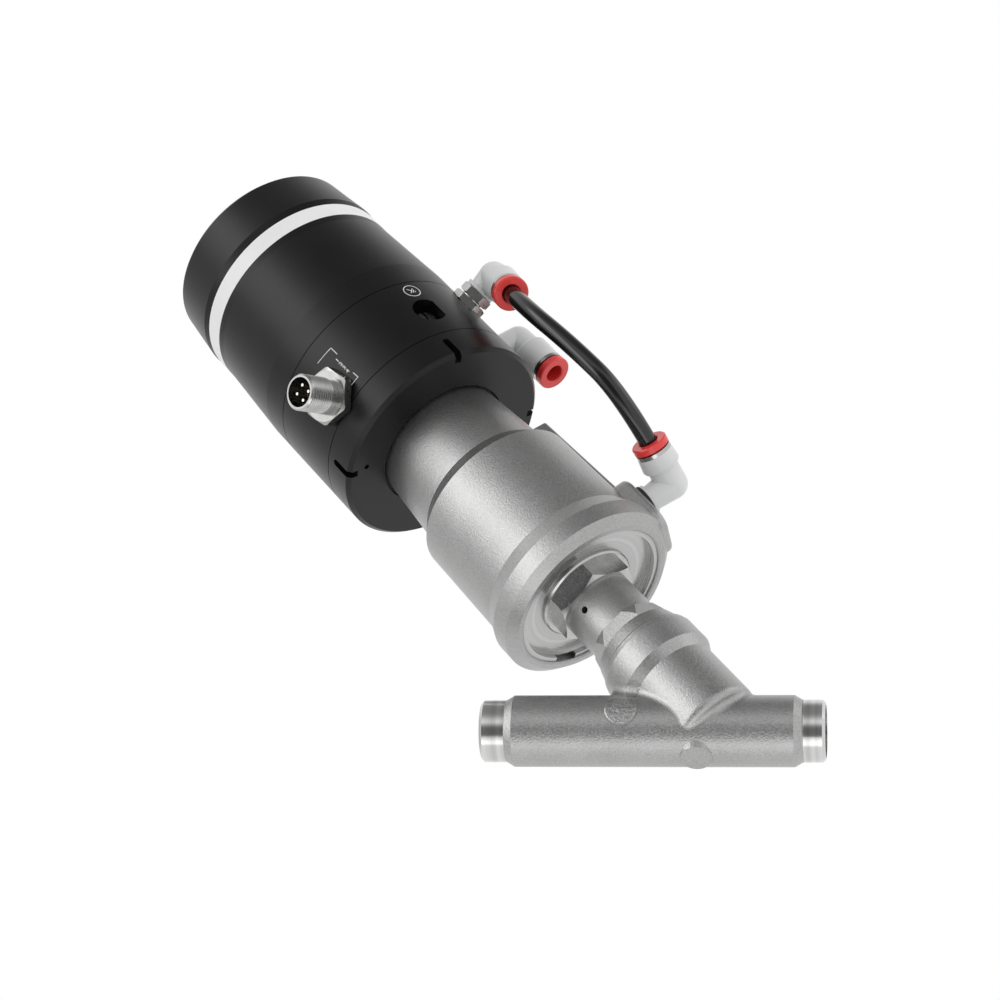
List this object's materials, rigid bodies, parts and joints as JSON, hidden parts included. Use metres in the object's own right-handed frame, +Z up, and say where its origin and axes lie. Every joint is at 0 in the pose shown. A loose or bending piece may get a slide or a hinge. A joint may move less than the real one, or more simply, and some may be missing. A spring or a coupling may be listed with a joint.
{
  "type": "pneumatic control valve",
  "caption": "Pneumatic angle-seat control valve with weld ends, piston actuator, round positioner, round electric plug and push-in air elbows.",
  "frame": {"origin": "centre of the inlet weld face", "axes": "+X out of the inlet along the pipe, +Z up, bonnet leaning back over the outlet in the XZ plane"},
  "size_m": [0.224, 0.08, 0.2314],
  "materials": {
    "cast_steel": "bead-blasted stainless casting",
    "turned_steel": "turned stainless steel",
    "steel_hidden": "stainless steel",
    "seal_plastic": "white sealing plastic",
    "black_rubber": "black sealing rubber",
    "black_anodised": "black anodised aluminium, satin",
    "light_grey_ring": "light grey diffusing plastic",
    "board_green": "circuit board",
    "bright_nickel": "nickel-plated",
    "gold_pins": "plated contact pins",
    "black_plastic": "black plastic",
    "grey_plastic": "light grey fitting plastic",
    "red_plastic": "red release collet",
    "black_tube": "black air tube",
    "aluminium_plain": "plain aluminium"
  },
  "bodies": {
    "valve_body": {"valve_body": "cast_steel", "bonnet": "turned_steel", "bonnet_gasket": "seal_plastic", "packing_gland": "steel_hidden", "spindle_packing": "seal_plastic", "packing_spring": "steel_hidden", "guide_bush": "seal_plastic", "swivel_nut": "turned_steel", "pivot_clip": "steel_hidden"},
    "stem": {"regulating_cone": "steel_hidden", "plug_seal": "seal_plastic", "plug_disc": "steel_hidden", "spindle": "steel_hidden", "piston": "aluminium_plain", "piston_seal": "black_rubber", "piston_nut": "steel_hidden", "position_rod": "steel_hidden"},
    "actuator": {"actuator_end_plate": "turned_steel", "end_plate_seal": "black_rubber", "snap_ring": "turned_steel", "actuator_housing": "cast_steel", "return_spring": "steel_hidden", "neck_seal": "black_rubber", "positioner_flange": "black_anodised", "positioner_base": "black_anodised", "positioner_shell": "black_anodised", "light_ring": "light_grey_ring", "circuit_board": "board_green", "light_board": "board_green", "board_posts": "aluminium_plain", "light_board_posts": "aluminium_plain", "pilot_valve": "black_plastic", "plug_shell": "bright_nickel", "plug_insert": "black_plastic", "plug_pins": "gold_pins", "plug_nut": "bright_nickel", "plug_flange_seal": "black_rubber", "earth_screw": "steel_hidden", "outlet_elbow_body": "grey_plastic", "outlet_elbow_clamp_ring": "bright_nickel", "outlet_elbow_stud": "bright_nickel", "outlet_lock_nut": "bright_nickel", "supply_elbow_stud": "bright_nickel", "actuator_elbow_body": "grey_plastic", "actuator_elbow_clamp_ring": "bright_nickel", "actuator_elbow_stud": "bright_nickel", "actuator_elbow_seal": "black_rubber", "air_tube": "black_tube"},
    "cover": {"cover": "black_anodised", "cover_seal": "black_rubber"},
    "supply_elbow": {"supply_elbow_body": "grey_plastic", "supply_elbow_clamp_ring": "bright_nickel"},
    "supply_collet": {"supply_elbow_collet": "red_plastic"},
    "outlet_collet": {"outlet_elbow_collet": "red_plastic"},
    "actuator_collet": {"actuator_elbow_collet": "red_plastic"}
  },
  "joints": [
    {"name": "actuator_swivel", "type": "hinge", "parent": "valve_body", "child": "actuator", "pos_m": [-0.032, 0, 0], "axis": [-0.6428, 0, 0.766], "continuous": true},
    {"name": "stem_stroke", "type": "slide", "parent": "valve_body", "child": "stem", "axis": [-0.6428, 0, 0.766], "range_m": [0, 0.008], "deforming": ["return_spring"]},
    {"name": "cover_off", "type": "slide", "parent": "actuator", "child": "cover", "axis": [-0.6428, 0, 0.766], "range_m": [0, 0.02]},
    {"name": "supply_elbow_swivel", "type": "hinge", "parent": "actuator", "child": "supply_elbow", "pos_m": [-0.1084, 0.01292, 0.16877], "axis": [0.7416, 0.2504, 0.6223], "continuous": true},
    {"name": "supply_collet_press", "type": "slide", "parent": "supply_elbow", "child": "supply_collet", "axis": [-0.6533, 0.0591, 0.7548], "range_m": [0, 0.0006]},
    {"name": "outlet_collet_press", "type": "slide", "parent": "actuator", "child": "outlet_collet", "axis": [-0.4171, 0.4463, 0.7918], "range_m": [0, 0.0006]},
    {"name": "actuator_collet_press", "type": "slide", "parent": "actuator", "child": "actuator_collet", "axis": [0.4107, 0.8191, -0.4004], "range_m": [0, 0.0006]}
  ]
}
